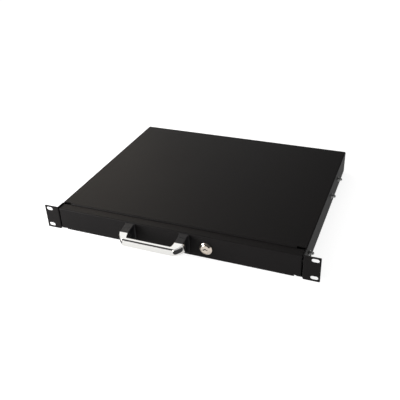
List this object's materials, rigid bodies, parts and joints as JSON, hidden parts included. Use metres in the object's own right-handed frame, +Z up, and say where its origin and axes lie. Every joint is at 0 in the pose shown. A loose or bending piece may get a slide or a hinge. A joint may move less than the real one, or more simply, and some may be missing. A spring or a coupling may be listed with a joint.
{
  "type": "rack drawer",
  "caption": "Lockable one-unit rack drawer: black folded steel housing with rack ears, sliding tray on ball-bearing slides, bridge handle and cam lock.",
  "frame": {"origin": "centre of the four rack slots, on the rear (mating) face of the ears", "axes": "+X to the right seen from the front, +Y back into the rack, +Z up"},
  "size_m": [0.4826, 0.3995, 0.044],
  "materials": {
    "powder_coat": "matt black powder coat, fine grain",
    "zinc_plate": "rolled steel, zinc plated",
    "bright_zinc": "bright zinc plated fasteners",
    "cage_steel": "stamped steel strip",
    "bearing_steel": "polished bearing steel",
    "black_rubber": "moulded rubber",
    "chrome_plate": "polished chrome plate on a zinc casting",
    "black_plastic": "moulded, satin black",
    "nickel_plate": "nickel plate on a zinc casting, slightly warm"
  },
  "bodies": {
    "housing": {"housing": "powder_coat", "outer_rail_left": "zinc_plate", "outer_rail_right": "zinc_plate", "rail_screws_left": "bright_zinc", "rail_screws_right": "bright_zinc", "rail_washers": "bright_zinc", "rail_nuts": "bright_zinc", "rail_bumpers": "black_rubber"},
    "outer_cages": {"outer_ball_cage_left": "cage_steel", "outer_ball_cage_right": "cage_steel", "outer_balls_left": "bearing_steel", "outer_balls_right": "bearing_steel"},
    "middle_rails": {"middle_rail_left": "zinc_plate", "middle_rail_right": "zinc_plate"},
    "inner_cages": {"inner_ball_cage_left": "cage_steel", "inner_ball_cage_right": "cage_steel", "inner_balls_left": "bearing_steel", "inner_balls_right": "bearing_steel"},
    "drawer": {"drawer_front": "powder_coat", "drawer_tray": "powder_coat", "inner_rail_left": "zinc_plate", "inner_rail_right": "zinc_plate", "inner_rail_screws": "bright_zinc", "handle_grip": "chrome_plate", "handle_foot_left": "black_plastic", "handle_foot_right": "black_plastic", "handle_plugs": "black_plastic", "handle_screws": "bright_zinc", "lock_body": "nickel_plate", "lock_washer": "bright_zinc", "lock_nut": "nickel_plate"},
    "lock_plug": {"lock_plug": "nickel_plate", "lock_cam": "zinc_plate", "cam_washer": "bright_zinc", "cam_screw": "bright_zinc"}
  },
  "joints": [
    {"name": "drawer_slide", "type": "slide", "parent": "housing", "child": "drawer", "axis": [0, -1, 0], "range_m": [0, 0.32]},
    {"name": "outer_cage_slide", "type": "slide", "parent": "housing", "child": "outer_cages", "axis": [0, -1, 0], "range_m": [0, 0.08]},
    {"name": "middle_rail_slide", "type": "slide", "parent": "housing", "child": "middle_rails", "axis": [0, -1, 0], "range_m": [0, 0.16]},
    {"name": "inner_cage_slide", "type": "slide", "parent": "housing", "child": "inner_cages", "axis": [0, -1, 0], "range_m": [0, 0.24]},
    {"name": "lock_turn", "type": "hinge", "parent": "drawer", "child": "lock_plug", "pos_m": [0.059, 0, -0.002], "axis": [0, 1, 0], "range_deg": [0, 90]}
  ],
  "couplings": [
    {"joint": "outer_cage_slide", "follows": "drawer_slide", "ratio": 0.25},
    {"joint": "middle_rail_slide", "follows": "drawer_slide", "ratio": 0.5},
    {"joint": "inner_cage_slide", "follows": "drawer_slide", "ratio": 0.75}
  ]
}
